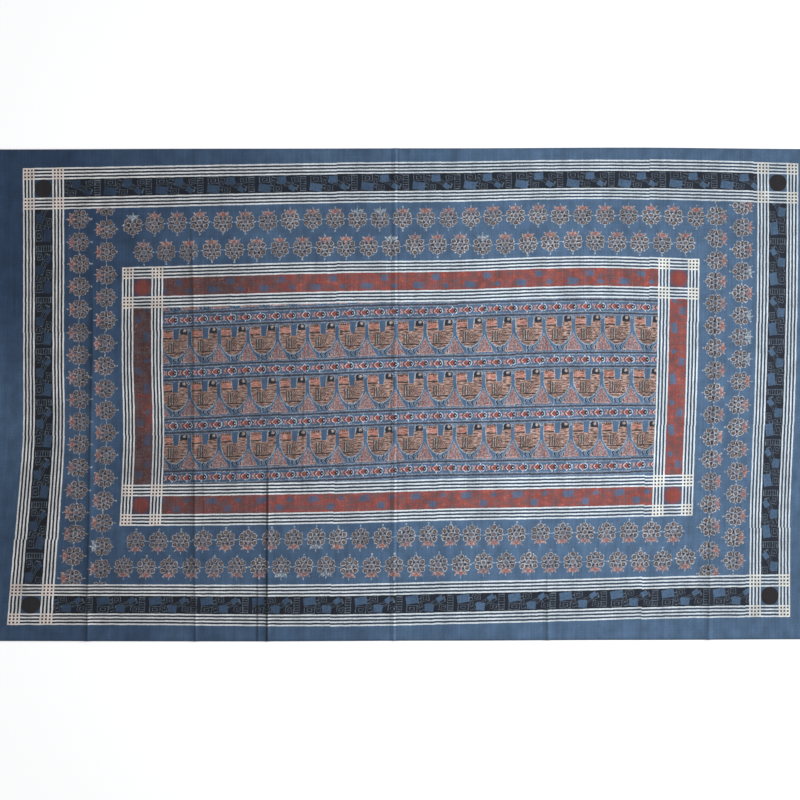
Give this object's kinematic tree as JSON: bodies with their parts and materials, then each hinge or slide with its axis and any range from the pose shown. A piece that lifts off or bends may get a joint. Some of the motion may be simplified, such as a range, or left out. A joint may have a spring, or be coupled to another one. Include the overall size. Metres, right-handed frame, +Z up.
{
  "type": "ajrakh cloth",
  "caption": "Block-printed indigo cotton spread lying flat, with striped frames, a rosette border and a field of birds and fish, and its fold creases.",
  "frame": {"origin": "on the surface the cloth lies on, under the middle of its outline", "axes": "+X along the cloth's length, to the right in the picture; +Y across its width, to the picture's top; +Z up, out of the printed face"},
  "size_m": [2.286, 1.372, 0.0075],
  "materials": {
    "printed_cotton": "matt plain-woven cotton, indigo ground with white, black, red and orange block print"
  },
  "bodies": {
    "root": {"cloth": "printed_cotton"}
  },
  "joints": []
}
